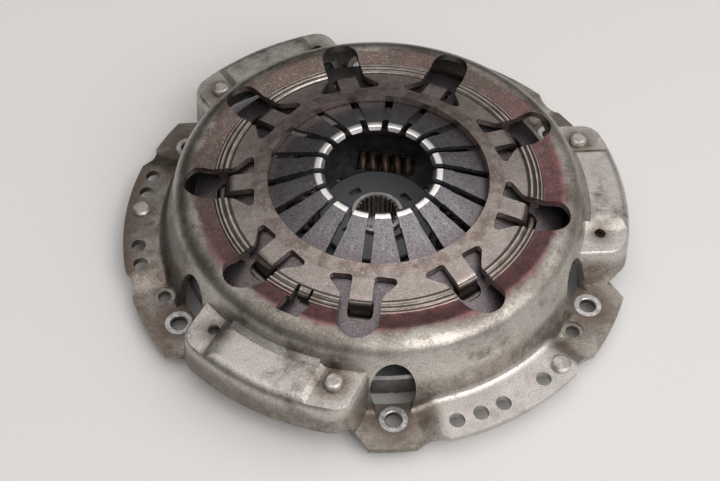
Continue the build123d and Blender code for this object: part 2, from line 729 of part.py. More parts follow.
def hub_cover():
    """Round cover of the idle damper, with four slots."""
    low = retainer_z + side_plate_t
    top = low + hub_cover_h
    roof = top - hub_cover_t
    inner = hub_cover_r - hub_cover_t
    points = [(hub_r + 0.8, roof), (inner, roof), (inner, low), (hub_cover_r, low), (hub_cover_r, top - 0.8),
              (hub_cover_r - 0.8, top), (hub_r + 0.8, top)]
    shape = turned(points)
    place, across, along = cover_slot
    slot = Pos(place, 0, low) * extrude(RectangleRounded(across, along, 1.0), amount=20)
    return shape - around(damper_count, stop_first, slot)


def cushion_plate():
    plan = Circle(disc_r - 1.5) - Circle(cushion_bore_r)
    plan -= around(damper_count, stop_first, Pos(stop_pin_r, 0) * Circle(stop_pin_neck_d / 2 + fit))
    start = side_plate_r + 10
    slit = Pos((start + disc_r) / 2, 0) * Rectangle(disc_r - start, 2 * cushion_slot_half)
    plan -= around(facing_rivet_count, stop_first + 22.5, slit)
    for row in facing_rivet_rows:
        plan -= around(facing_rivet_count, stop_first, Pos(row, 0) * Circle(facing_rivet_d / 2 + fit))
    return Pos(0, 0, disc_mid_z - cushion_t / 2) * extrude(plan, amount=cushion_t)


def facing(up):
    """Friction facing whose rubbed face looks up or down, with grooves and sunk rivet holes."""
    inner = disc_mid_z + up * cushion_t / 2
    outer = inner + up * facing_t
    ring = tube(facing_bore_r, disc_r, min(inner, outer), max(inner, outer))
    middle = (facing_bore_r + disc_r) / 2
    groove = Pos(middle, 0, outer) * Box(disc_r - facing_bore_r + 10, 2 * groove_half, 2 * groove_depth)
    cuts = around(groove_count, stop_first + 11.25, groove)
    for row in facing_rivet_rows:
        hole = Pos(row, 0) * cylinder(facing_rivet_d / 2 + fit, -20, 20)
        sink = outer - up * (facing_t - facing_rivet_sink)
        ends = sorted((sink, sink + up * 9))
        counterbore = Pos(row, 0) * cylinder(facing_rivet_head_d / 2, *ends)
        cuts += around(facing_rivet_count, stop_first, hole)
        cuts += around(facing_rivet_count, stop_first, counterbore)
    return ring - cuts


def facing_rivets():
    rivets = []
    reach = cushion_t / 2 + facing_rivet_sink
    neck = facing_rivet_d / 2
    head = facing_rivet_head_d / 2 - 0.6
    points = [(0, -reach - 0.8), (head, -reach - 0.8), (head, -reach), (neck, -reach), (neck, reach),
              (head, reach), (head, reach + 0.8), (0, reach + 0.8)]
    for row in facing_rivet_rows:
        rivets += around(facing_rivet_count, stop_first, Pos(row, 0, disc_mid_z) * turned(points))
    return rivets


def write_driven_plate():
    save(hub(), "disc_hub")
    save(side_plate(retainer_z, 1), "disc_retainer_plate")
    save(side_plate(disc_mid_z - cushion_t / 2 - side_plate_t, -1), "disc_drive_plate")
    save(damper_springs(), "disc_damper_springs")
    save(stop_pins(), "disc_stop_pins")
    save(friction_washers(), "disc_friction_washers")
    save(centring_bush(), "disc_centring_bush")
    save(hub_cover(), "disc_hub_cover")
    save(cushion_plate(), "disc_cushion_plate")
    save(facing(1), "disc_facing_plate_side")
    save(facing(-1), "disc_facing_flywheel_side")
    save(facing_rivets(), "disc_facing_rivets")


write_cover_assembly()
write_driven_plate()
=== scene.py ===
import json
import math

import bmesh
import bpy
from mathutils import Matrix, Vector


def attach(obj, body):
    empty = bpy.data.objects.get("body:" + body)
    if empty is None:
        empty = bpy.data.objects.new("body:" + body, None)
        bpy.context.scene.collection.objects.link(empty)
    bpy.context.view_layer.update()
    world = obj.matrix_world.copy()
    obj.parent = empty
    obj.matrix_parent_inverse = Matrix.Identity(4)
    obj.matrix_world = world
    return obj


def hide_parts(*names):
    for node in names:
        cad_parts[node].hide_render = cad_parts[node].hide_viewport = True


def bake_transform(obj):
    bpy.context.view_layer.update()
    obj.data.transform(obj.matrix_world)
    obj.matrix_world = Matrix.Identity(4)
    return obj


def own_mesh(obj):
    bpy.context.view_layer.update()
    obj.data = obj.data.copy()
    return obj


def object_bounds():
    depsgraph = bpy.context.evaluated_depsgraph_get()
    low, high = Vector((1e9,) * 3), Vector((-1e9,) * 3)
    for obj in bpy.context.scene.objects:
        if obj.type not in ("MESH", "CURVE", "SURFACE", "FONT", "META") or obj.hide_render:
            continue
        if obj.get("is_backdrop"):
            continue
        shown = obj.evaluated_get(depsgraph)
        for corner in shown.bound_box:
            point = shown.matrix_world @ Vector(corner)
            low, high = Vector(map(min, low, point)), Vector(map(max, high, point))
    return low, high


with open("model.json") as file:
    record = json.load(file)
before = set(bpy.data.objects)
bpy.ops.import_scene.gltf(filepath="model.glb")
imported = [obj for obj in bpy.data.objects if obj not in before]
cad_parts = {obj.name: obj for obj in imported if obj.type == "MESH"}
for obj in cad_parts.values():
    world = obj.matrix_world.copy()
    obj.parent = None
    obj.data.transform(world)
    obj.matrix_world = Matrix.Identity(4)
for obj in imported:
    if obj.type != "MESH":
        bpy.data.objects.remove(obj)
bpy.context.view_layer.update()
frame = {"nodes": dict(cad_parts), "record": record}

bl_info = {
    "name": "Diaphragm spring clutch",
    "version": (1, 0, 0),
    "blender": (4, 5, 0),
    "location": "View3D > Sidebar > Clutch",
    "description": "Dresses a clutch cover assembly and its driven plate with worn steel finishes",
    "category": "Object",
}

MM = 0.001

# Places on the clutch, in millimetres, from the middle of the flywheel face.
STRAP_STEP = 5.0        # between the cuts that let a strap bend
STRAP_CUTS = 5          # number of cuts on each side of a strap's middle

# Mesh work: lengths in metres, turns in degrees.
MERGE_M = 1e-6          # corners nearer than this are one corner
CUT_M = 1e-7            # corners nearer than this to a cut lie on it
EDGE_STEPS = 2          # faces across a rounded edge
ROUNDED_TURN = 28.0     # edges that turn more than this are rounded
SHARP_TURN = 30.0       # edges that turn more than this stay sharp
COIL_SHARP_TURN = 40.0  # the same on the damper springs

# Studio, in metres. A spread is where a light begins and where it is whole, as the cosine of
# the angle from its middle.
LAMP_PLACE = (0.75, -0.95, 1.05)
LIGHT_COLOUR = (1.0, 0.975, 0.96)
ROOM_GLOW = 0.07
SIDE_WAY, SIDE_SPREAD, SIDE_GLOW = (0.8, -0.6, 0.0), (-0.4, 1.0), 0.36
SOFTBOX_WAY, SOFTBOX_SPREAD, SOFTBOX_GLOW = (0.23, -0.10, 0.968), (0.42, 0.95), 1.38
CAMERA_PLACE = Vector((-0.03695, -0.41295, 0.52098))
CAMERA_AXES = (
    (0.998426, -0.055716, 0.00684),
    (0.039888, 0.789923, 0.61186),
    (-0.039487, -0.610625, 0.7909),
)
CAMERA_SENSOR_MM = 36.0
CAMERA_CLIP = (0.01, 50.0)


# ---------------------------------------------------------------- nodes

class Reading:
    """A node's output that takes part in sums. An expression on it adds Math nodes."""

    def __init__(self, nodes, socket):
        self.nodes = nodes
        self.socket = socket

    def outputs(self):
        """Every output of the same node."""
        return [Reading(self.nodes, socket) for socket in self.socket.node.outputs]

    def __add__(self, other):
        return self.nodes.math("ADD", self, other)

    def __radd__(self, other):
        return self.nodes.math("ADD", other, self)

    def __sub__(self, other):
        return self.nodes.math("SUBTRACT", self, other)

    def __rsub__(self, other):
        return self.nodes.math("SUBTRACT", other, self)

    def __mul__(self, other):
        return self.nodes.math("MULTIPLY", self, other)

    def __rmul__(self, other):
        return self.nodes.math("MULTIPLY", other, self)

    def __truediv__(self, other):
        return self.nodes.math("DIVIDE", self, other)

    def __pow__(self, other):
        return self.nodes.math("POWER", self, other)

    def above(self, low, high):
        """0 below low, 1 above high, with a soft passage. A high under low turns it round."""
        start, end = (1.0, 0.0) if high < low else (0.0, 1.0)
        inputs = {"Value": self, "From Min": min(low, high), "From Max": max(low, high),
                  "To Min": start, "To Max": end}
        return self.nodes.node("MapRange", {"interpolation_type": "SMOOTHSTEP"}, inputs)

    def band(self, low, high, soft):
        """1 between low and high, 0 outside."""
        return self.above(low - soft, low + soft) * self.above(high + soft, high - soft)


class Nodes:
    """Builds the nodes of one tree."""

    MIX_SHARE, MIX_FIRST, MIX_SECOND, MIX_RESULT = 0, 6, 7, 2   # the colour sockets of a Mix node

    def __init__(self, tree):
        self.tree = tree
        self.tree.nodes.clear()

    def node(self, kind, settings=None, inputs=None, output=0):
        """Adds a node and gives one output. A kind without the word Node is a shader node."""
        made = self.tree.nodes.new(kind if "Node" in kind else "ShaderNode" + kind)
        for key, value in (settings or {}).items():
            setattr(made, key, value)
        for key, value in (inputs or {}).items():
            self.feed(made.inputs[key], value)
        return Reading(self, made.outputs[output]) if len(made.outputs) else None

    def feed(self, socket, value):
        if isinstance(value, Reading):
            self.tree.links.new(value.socket, socket)
        elif socket.type == "RGBA":
            socket.default_value = (*value, 1)
        else:
            socket.default_value = value

    def math(self, operation, *values):
        return self.node("Math", {"operation": operation}, dict(enumerate(values)))

    def mix(self, share, first, second):
        """The first colour where the share is 0, the second where it is 1."""
        inputs = {self.MIX_SHARE: share, self.MIX_FIRST: first, self.MIX_SECOND: second}
        return self.node("Mix", {"data_type": "RGBA"}, inputs, self.MIX_RESULT)


class Finish(Nodes):
    """A procedural material. Lengths in its patterns are in millimetres."""

    def __init__(self, name):
        self.material = bpy.data.materials.new(name)
        self.material.use_nodes = True
        super().__init__(self.material.node_tree)
        self.colours = bpy.context.scene.clutch_colours
        self.dark = tuple(getattr(self.colours, name + "_dark"))
        self.pale = tuple(getattr(self.colours, name + "_pale"))
        self.base = None
        place = self.node("TexCoord", output="Object")
        self.mm = self.node("VectorMath", {"operation": "SCALE"}, {0: place, "Scale": 1 / MM})
        self.x, self.y, self.z = self.node("SeparateXYZ", {}, {0: self.mm}).outputs()

    def noise(self, size, detail=3.0, rough=0.55, at=None, shift=0.0):
        """Noise between 0 and 1 whose lumps are about the size."""
        place = at or self.mm
        if shift:
            away = (shift, -shift, 2 * shift)
            place = self.node("VectorMath", {"operation": "ADD"}, {0: place, 1: away})
        inputs = {"Vector": place, "Scale": 1 / size, "Detail": detail, "Roughness": rough}
        return self.node("TexNoise", {}, inputs)

    def cells(self, size):
        """Distance from the middle of the nearest cell."""
        return self.node("TexVoronoi", {}, {"Vector": self.mm, "Scale": 1 / size}, "Distance")

    def radius(self):
        return (self.x * self.x + self.y * self.y) ** 0.5

    def angle(self):
        """Turn round the Z axis, in degrees."""
        return self.math("ARCTAN2", self.y, self.x) * (180 / math.pi)

    def rings(self, size, height):
        """Place for patterns that run round the axis: radius, a slow turn and height."""
        inputs = {0: self.radius() / size, 1: self.angle() / 60, 2: self.z / height}
        return self.node("CombineXYZ", {}, inputs)

    def spots(self, places, reach, soft):
        """1 within reach of any of the places in plan, 0 elsewhere."""
        found = []
        for x, y in places:
            across, along = self.x - x, self.y - y
            distance = (across * across + along * along) ** 0.5
            found.append(distance.above(reach + soft, reach - soft))
        return total(found)

    def start(self, share):
        """Starts the base colour, from the finish's dark colour to its pale one."""
        self.base = self.mix(share, self.dark, self.pale)

    def lay(self, share, colour):
        """Lays a colour over the base colour, as thick as the share."""
        self.base = self.mix(share, self.base, colour)

    def bump(self, height, depth, strength=1.0):
        """Normal of a relief. Depth is in millimetres."""
        inputs = {"Height": height, "Distance": depth * MM, "Strength": strength}
        return self.node("Bump", {}, inputs)

    def surface(self, metallic, roughness, normal=None):
        """Closes the tree with the base colour and gives the material."""
        inputs = {"Base Color": self.base, "Metallic": metallic, "Roughness": roughness}
        if normal is not None:
            inputs["Normal"] = normal
        shader = self.node("BsdfPrincipled", {}, inputs)
        self.node("OutputMaterial", {}, {"Surface": shader})
        return self.material


def total(readings):
    first, *others = readings
    return sum(others, first)


def scaled(colour, share):
    return tuple(share * part for part in colour)


def polar(radius, degrees):
    turn = math.radians(degrees)
    return radius * math.cos(turn), radius * math.sin(turn)


# ---------------------------------------------------------------- finishes

# Marks on the cover.
RING_PALE, RING_BROWN, LOBE = (0.35, 0.295, 0.272), (0.205, 0.158, 0.14), (0.38, 0.335, 0.31)
HEAT_PATCH, HEAT_MOTTLE = (0.155, 0.112, 0.094), (0.11, 0.058, 0.06)
PIT, FLECK, DRAWN_LINE = (0.05, 0.04, 0.033), (0.70, 0.67, 0.64), (0.52, 0.50, 0.47)
# Painted shade in the grooves; pale and brown painted highlights on the crests.
GROOVE_PAINTED_SHADE, CREST_HIGHLIGHT_PALE, CREST_HIGHLIGHT_BROWN = (0.05, 0.038, 0.032), (0.52, 0.465, 0.42), (0.34, 0.29, 0.255)
# The first is a painted shade colour, for the bend of the tabs and the left side.
PAINTED_SHADE_BROWN, RIVET_DARK, PAD_GRIME = (0.11, 0.078, 0.058), (0.105, 0.072, 0.052), (0.12, 0.085, 0.068)
BOLT_SEAT = (0.55, 0.55, 0.56)

# Marks on the diaphragm spring.
SCALE, STREAK = (0.12, 0.082, 0.086), (0.42, 0.42, 0.43)
SPECK, GLINT = (0.05, 0.046, 0.05), (0.45, 0.45, 0.47)
GROUND_DULL, NOSE = (0.55, 0.53, 0.51), (0.26, 0.25, 0.25)
SCALE_R, GROUND_OUT_R, GROUND_IN_R, NOSE_R = (44, 66), (37.2, 36.7), (32.9, 33.3), (33.3, 32.9)

# Marks on the other pieces.
RUST = (0.19, 0.085, 0.042)
HUB_COVER_R, HUB_COVER_GREY = 35.2, (0.125, 0.132, 0.14)
HUB_BORE_R, HUB_BORE_SHADE = 13.3, (0.07, 0.06, 0.052)
GRIT, BRASS = (0.035, 0.03, 0.027), (0.42, 0.30, 0.15)


class CoverSteel(Finish):
    """Stamped sheet: heat tint on top, stains low down, painted highlights on the front flange and
    bulge tops, and painted shade in the grooves, on the tabs and on the left.

    Heights and radii are in millimetres. A pair is where a mark begins and where it is whole,
    and three numbers are a band's two edges and how soft they are.
    """

    GROOVES = ((86.2, 87.3, 0.12), (89.9, 91.0, 0.12), (92.95, 93.7, 0.1), (94.95, 95.4, 0.1))
    CRESTS = ((87.6, 89.7, 0.2), (91.2, 92.8, 0.2), (93.9, 94.8, 0.15))
    GROOVE_Z, CREST_Z = (43.0, 43.6), (44.7, 45.0)
    INNER_RING_R = (86.9, 86.1)
    LOBE_R, LOBE_Z = (73.0, 86.2, 0.8), (43.6, 44.2)
    HEAT_R, HEAT_Z = (94.0, 107.0, 1.6), (42.0, 43.4)
    BEND_R, BEND_TOP_Z, BEND_FOOT_Z = (79.0, 98.0, 0.6), (42.4, 41.2), (27.0, 27.6)
    BULGE_R, BULGE_Z = (112, 124), (19.0, 27.0)
    # The flange band below is where the front flange gets a painted highlight.
    FRONT_FLANGE_TURN, FLANGE_Z = (-80, -46, 2), (12.5, 9.0)
    LOW_Z = (30.0, 6.0)
    # The X band of the stains and the next line place painted shade on the left side.
    STAIN_R, STAIN_X = (126, 132), (40, -110)
    SOOT_R, SOOT_Z, SOOT_X = (138, 152), (4, 27, 4), (-30, -115)
    RIVET_Z, PAD_Z, SEAT_Z = (19.0, 23.0), (12.0, 8.0), (3.4, 3.8)

    # Places in plan, and for the spot on each its reach and how soft its edge is.
    RAMPS = [polar(136.0, 120 * zone + turn) for zone in range(3) for turn in (37.5, 75.5)]
    FIRST_RIVETS = [polar(130.5, 120 * bulge + 16) for bulge in range(3)]
    LAST_RIVETS = [polar(130.5, 120 * bulge - 16) for bulge in range(3)]
    BOLTS = [polar(135.0, 30 + 60 * place) for place in range(6)]
    RAMP_SPOT, FIRST_RIVET_SPOT, LAST_RIVET_SPOT = (6.5, 7.0), (9.0, 6.0), (6.0, 6.0)
    PAD_SPOT, SEAT_SPOT = (14.0, 9.0), (7.7, 0.25)

    def __init__(self):
        super().__init__("cover_steel")
        self.r = self.radius()
        self.cloud = self.noise(34, 4, 0.6)
        self.patch = self.noise(9, 5, 0.7, shift=13)
        self.mottle = self.noise(2.6, 5, 0.8, shift=23)
        self.grain = self.noise(0.8, 3, 0.8, shift=31)
        self.fleck = self.noise(1.3, 3, 0.75, shift=71)
        self.drawn = self.noise(1.0, 5, 0.85, at=self.rings(2.5, 0.9))
        self.stain = self.noise(8, 6, 0.75, shift=91).above(0.50, 0.68)
        self.low = self.z.above(*self.LOW_Z)
        grooves = total(self.r.band(*edges) for edges in self.GROOVES)
        crests = total(self.r.band(*edges) for edges in self.CRESTS)
        self.groove = grooves * self.z.above(*self.GROOVE_Z)
        self.crest = crests * self.z.above(*self.CREST_Z)
        self.plain = 1 - (self.groove + self.crest).above(0.0, 0.8) * 0.8
        ragged = (self.grain - 0.5) * 9 + (self.mottle - 0.5) * 8 + (self.cloud - 0.5) * 12
        self.heat = (self.r + ragged).band(*self.HEAT_R) * self.z.above(*self.HEAT_Z)

    def sheet(self):
        """Pale clouds, olive patches and dark mottles."""
        self.start(self.cloud.above(0.34, 0.64))
        self.lay(self.patch.above(0.46, 0.70) * 0.75, self.colours.cover_olive)
        self.lay(self.mottle.above(0.45, 0.70) * 0.35, scaled(self.dark, 0.4))

    def rubbed(self):
        """Painted highlights: the front flange and the tops of the strap bulges are painted
        lighter.
        """
        flange = self.angle().band(*self.FRONT_FLANGE_TURN) * self.z.above(*self.FLANGE_Z)
        self.lay(flange * (0.45 + self.cloud * 0.6), self.colours.rubbed_flange)
        bulges = self.r.above(*self.BULGE_R) * self.z.above(*self.BULGE_Z)
        bright = (self.patch + self.cloud).above(0.70, 1.05)
        self.lay(bulges * bright * 0.8, self.colours.rubbed_bulge)

    def inner_ring(self):
        """Brown ring round the fingers, with its raised lobes."""
        inner = (self.r + (self.patch - 0.5) * 2).above(*self.INNER_RING_R)
        self.lay(inner * 0.9, self.mix(self.patch.above(0.38, 0.62), RING_PALE, RING_BROWN))
        self.lay(self.r.band(*self.LOBE_R) * self.z.above(*self.LOBE_Z) * 0.6, LOBE)

    def heat_tint(self):
        """Ragged band round the top, brown on one side and red on the other."""
        side = self.y - self.x * 0.5 + (self.cloud - 0.5) * 90
        tint = self.mix(side.above(60, -70), self.colours.heat_brown, self.colours.heat_red)
        tint = self.mix(self.patch.above(0.40, 0.66) * 0.75, tint, HEAT_PATCH)
        tint = self.mix(self.mottle.above(0.48, 0.64) * 0.5, tint, HEAT_MOTTLE)
        self.lay(self.heat * (0.96 - self.fleck.above(0.52, 0.70) * 0.45), tint)

    def fine_marks(self):
        """Pits, bright flecks and the lines that the press drew."""
        self.lay(self.grain.above(0.48, 0.70) * 0.7 * self.plain, PIT)
        self.lay(self.fleck.above(0.57, 0.72) * (0.5 - self.heat * 0.32) * self.plain, FLECK)
        self.lay(self.drawn.above(0.58, 0.76) * 0.35 * self.plain, DRAWN_LINE)

    def ridges(self):
        """Painted shade in the grooves and on the bend of the tabs, and painted highlights on the
        crests.
        """
        self.lay(self.groove * 0.9, GROOVE_PAINTED_SHADE)
        crest_highlight = self.mix(self.patch.above(0.4, 0.65), CREST_HIGHLIGHT_PALE, CREST_HIGHLIGHT_BROWN)
        self.lay(self.crest * 0.85, crest_highlight)
        bend = self.r.band(*self.BEND_R) * self.z.above(*self.BEND_TOP_Z)
        self.lay(bend * self.z.above(*self.BEND_FOOT_Z) * 0.75, PAINTED_SHADE_BROWN)

    def soiled(self):
        """Stains low down, heavier on the left as painted shade; grime on the ramps; darker round
        the strap rivets; painted shade on the outer left side.
        """
        brown = self.colours.stain
        outer, left = self.r.above(*self.STAIN_R), self.x.above(*self.STAIN_X)
        # Painted shade: the stains grow heavier on the left side and towards the bottom.
        self.lay(self.stain * self.low * (outer * 0.3 + left * 0.55), brown)
        ramps = self.spots(self.RAMPS, *self.RAMP_SPOT)
        self.lay(ramps * self.low * (0.35 + self.patch * 0.8), brown)
        rivets = (self.spots(self.FIRST_RIVETS, *self.FIRST_RIVET_SPOT)
                  + self.spots(self.LAST_RIVETS, *self.LAST_RIVET_SPOT))
        self.lay(rivets * self.z.above(*self.RIVET_Z) * (0.35 + self.mottle), RIVET_DARK)
        # Painted shade on the outer left side, low down.
        flange_shade = self.r.above(*self.SOOT_R) * self.z.band(*self.SOOT_Z) * self.x.above(*self.SOOT_X)
        self.lay(flange_shade * (0.3 + self.cloud * 0.9), PAINTED_SHADE_BROWN)

    def bolt_pads(self):
        """Grime on the pads, and a bare ring where each bolt head sat."""
        pads = self.spots(self.BOLTS, *self.PAD_SPOT) * self.z.above(*self.PAD_Z)
        self.lay(pads * (0.45 + self.patch * 0.8), PAD_GRIME)
        seats = self.spots(self.BOLTS, *self.SEAT_SPOT) * self.z.above(*self.SEAT_Z)
        self.lay(seats * (0.95 - self.mottle.above(0.45, 0.6) * 0.5), BOLT_SEAT)

    def build(self):
        for layer in (self.sheet, self.rubbed, self.inner_ring, self.heat_tint, self.fine_marks,
                      self.ridges, self.soiled, self.bolt_pads):
            layer()
        stained = self.stain * self.low
        rough = (0.31 + (self.mottle - 0.5) * 0.3 + (self.grain - 0.5) * 0.3 * self.plain
                 + self.heat * 0.04 + stained * 0.2 - self.crest * 0.1)
        metal = 0.93 - stained * 0.35 - self.grain.above(0.52, 0.72) * 0.2 * self.plain
        relief = (self.grain * 0.5 + self.mottle * 0.6 + self.drawn * 0.3) * self.plain
        relief = relief + self.noise(15, 2, 0.5, shift=37) * 2.0
        return self.surface(metal, rough, self.bump(relief, 0.18))


def spring_steel():
    """Dark scale with brushed fingers, ground bright in a ring at their tips."""
    f = Finish("spring_steel")
    r = f.radius()
    along = {0: f.angle() / 2.2, 1: r / 14, 2: f.z / 40}
    fine = f.noise(0.9, 4, 0.75)
    cloud = f.noise(8, 4, 0.65, shift=7)
    speck = f.noise(1.4, 3, 0.75, shift=19)
    glint = f.noise(1.1, 3, 0.7, shift=43)
    streak = f.noise(1.0, 4, 0.7, at=f.node("CombineXYZ", {}, along))
    f.start(fine.above(0.34, 0.68))
    outer = (r + (cloud - 0.5) * 16).above(*SCALE_R)
    f.lay(outer * 0.45, SCALE)
    f.lay(streak.above(0.48, 0.74) * 0.35 * outer.above(1.0, 0.3), STREAK)
    f.lay(speck.above(0.50, 0.66) * 0.6, SPECK)
    f.lay(glint.above(0.56, 0.70) * 0.5, GLINT)
    ragged = r + (f.noise(3, 3, 0.6, shift=3) - 0.5) * 0.9
    ground = ragged.above(*GROUND_OUT_R) * r.above(*GROUND_IN_R)
    f.lay(ground, f.mix(fine.above(0.5, 0.68) * 0.5, f.colours.ground_tips, GROUND_DULL))
    f.lay(r.above(*NOSE_R) * 0.6, NOSE)
    rough = 0.36 + (fine - 0.5) * 0.3 - ground * 0.14
    relief = fine * (1 - ground * 0.8)
    return f.surface(0.9 + ground * 0.05, rough, f.bump(relief, 0.07, 0.9))


def worn_metal(name, metallic, roughness, lump=5.0, rust=0.0, relief=0.1, inside=None):
    """Plain steel or iron with clouds, dark flecks and as much rust as asked for.

    Inside holds a radius and the colour within it, for a piece whose middle differs.
    """
    f = Finish(name)
    cloud = f.noise(lump, 4, 0.6)
    fine = f.noise(0.7, 3, 0.7, shift=17)
    f.start(cloud.above(0.38, 0.64))
    f.lay(fine.above(0.58, 0.72) * 0.5, scaled(f.dark, 0.35))
    if inside:
        reach, colour = inside
        within = f.radius().above(reach + 0.3, reach - 0.3)
        gaps = fine.above(0.45, 0.65) * 0.35
        f.lay(within * (0.95 - gaps - cloud.above(0.5, 0.7) * 0.25), colour)
    brown = f.noise(lump * 0.8, 5, 0.7, shift=53).above(0.66 - 0.3 * rust, 0.78 - 0.3 * rust)
    brown = brown * min(1.0, 2 * rust)
    f.lay(brown, RUST)
    rough = roughness + (fine - 0.5) * 0.3 + brown * 0.2
    metal = metallic - brown * metallic * 0.7
    return f.surface(metal, rough, f.bump(fine + brown, relief, 0.8))


def turned_iron():
    """Machined iron with fine turning lines round the axis."""
    f = Finish("plate_iron")
    lines = f.noise(1.0, 4, 0.8, at=f.rings(0.45, 6.0))
    f.start(f.noise(8, 4, 0.6, shift=5).above(0.35, 0.65))
    f.lay(lines.above(0.45, 0.75) * 0.35, scaled(f.dark, 0.5))
    return f.surface(0.9, 0.42 + (lines - 0.5) * 0.3, f.bump(lines, 0.05, 0.6))


def friction_lining():
    """Pressed fibre wound round the axis, with grit and bits of brass wire."""
    f = Finish("friction")
    strand = f.noise(1.0, 4, 0.75, at=f.rings(1.1, 2.0))
    grit = f.noise(0.5, 3, 0.7, shift=9)
    f.start(strand.above(0.35, 0.65))
    f.lay(grit.above(0.6, 0.7) * 0.5, GRIT)
    f.lay(f.cells(1.6).above(0.16, 0.10) * 0.5, BRASS)
    return f.surface(0.0, 0.72 + (grit - 0.5) * 0.3, f.bump(strand + grit, 0.12, 0.8))


def studio_paper():
    """Pale backdrop paper."""
    f = Finish("studio_paper")
    f.start(f.noise(1.2, 3, 0.6).above(0.3, 0.7))
    return f.surface(0.0, 0.8)


FINISHES = {
    "cover_steel": lambda: CoverSteel().build(),
    "spring_steel": spring_steel,
    "plate_iron": turned_iron,
    "friction": friction_lining,
}

WORN_METALS = {
    "ring_wire": {"metallic": 0.75, "roughness": 0.45, "rust": 0.2},
    "strap_steel": {"metallic": 0.85, "roughness": 0.36},
    "rivet_steel": {"metallic": 0.82, "roughness": 0.40, "lump": 3.0, "rust": 0.25},
    "disc_steel": {"metallic": 0.6, "roughness": 0.5, "relief": 0.06,
                   "inside": (HUB_COVER_R, HUB_COVER_GREY)},
    "coil_steel": {"metallic": 0.55, "roughness": 0.45, "lump": 3.0, "rust": 0.35},
    "hub_steel": {"metallic": 0.75, "roughness": 0.42, "lump": 4.0,
                  "inside": (HUB_BORE_R, HUB_BORE_SHADE)},
    "washer": {"metallic": 0.2, "roughness": 0.55},
}

made_finishes = {}


def finish_of(slot):
    """The material of a slot, made the first time that it is asked for."""
    if slot not in made_finishes:
        if slot in WORN_METALS:
            made_finishes[slot] = worn_metal(slot, **WORN_METALS[slot])
        else:
            made_finishes[slot] = FINISHES[slot]()
    return made_finishes[slot]


# ---------------------------------------------------------------- pieces from the frame

def slot_of(node):
    return {row["node"]: row["material_slot"] for row in frame["record"]["subparts"]}[node]


def body_of(node):
    bodies = frame["record"]["behaviour"]["bodies"]
    return next(body for body, members in bodies.items() if node in members)


def joined_mesh(node, name):
    """Copy of a frame solid's mesh with its corners joined."""
    mesh = frame["nodes"][node].data.copy()
    mesh.name = name
    if "custom_normal" in mesh.attributes:
        mesh.attributes.remove(mesh.attributes["custom_normal"])
    work = bmesh.new()
    work.from_mesh(mesh)
    bmesh.ops.remove_doubles(work, verts=work.verts, dist=MERGE_M)
    work.to_mesh(mesh)
    work.free()
    mesh.materials.clear()
    mesh.materials.append(finish_of(slot_of(node)))
    return mesh


def smooth(mesh):
    mesh.polygons.foreach_set("use_smooth", [True] * len(mesh.polygons))


def shade(mesh, angle):
    """Smooth shading, with the edges over the angle in degrees kept sharp."""
    smooth(mesh)
    mesh.set_sharp_from_angle(angle=math.radians(angle))


def add_object(name, data):
    made = bpy.data.objects.new(name, data)
    bpy.context.scene.collection.objects.link(made)
    return made


def settle(made):
    """Turns an object's modifiers into plain mesh."""
    view = bpy.context.evaluated_depsgraph_get()
    mesh = bpy.data.meshes.new_from_object(made.evaluated_get(view), depsgraph=view)
    made.modifiers.clear()
    made.data = mesh


def dressed(node, edge):
    """Copy of a frame solid with its sharp edges rounded, that stands for it."""
    mesh = joined_mesh(node, "dressed_" + node)
    smooth(mesh)
    made = add_object("dressed_" + node, mesh)
    bevel = made.modifiers.new("edge", "BEVEL")
    bevel.width = edge
    bevel.segments = EDGE_STEPS
    bevel.limit_method = "ANGLE"
    bevel.angle_limit = math.radians(ROUNDED_TURN)
    bevel.use_clamp_overlap = True
    bevel.harden_normals = True
    settle(made)
    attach(made, body_of(node))
    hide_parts(node)


def flat_spring():
    """The diaphragm spring, carried on the cover assembly."""
    mesh = joined_mesh("diaphragm_spring", "flat_spring")
    shade(mesh, SHARP_TURN)
    made = add_object("flat_spring", mesh)
    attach(made, "cover_assembly")
    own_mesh(made)
    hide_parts("diaphragm_spring")


def strap_pack(number):
    """A pack of strap leaves, cut across at even steps along its length."""
    node = f"drive_straps_{number}"
    mesh = joined_mesh(node, "flexing_" + node)
    turn = Matrix.Rotation(math.radians(120 * (number - 1)), 3, "Z")
    along = turn @ Vector((0, 1, 0))
    work = bmesh.new()
    work.from_mesh(mesh)
    for step in range(-STRAP_CUTS, STRAP_CUTS + 1):
        parts = [*work.verts, *work.edges, *work.faces]
        middle = along * step * STRAP_STEP * MM
        bmesh.ops.bisect_plane(work, geom=parts, dist=CUT_M, plane_co=middle, plane_no=along)
    bmesh.ops.triangulate(work, faces=work.faces)
    work.to_mesh(mesh)
    work.free()
    shade(mesh, SHARP_TURN)
    made = add_object("flexing_" + node, mesh)
    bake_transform(made)
    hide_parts(node)


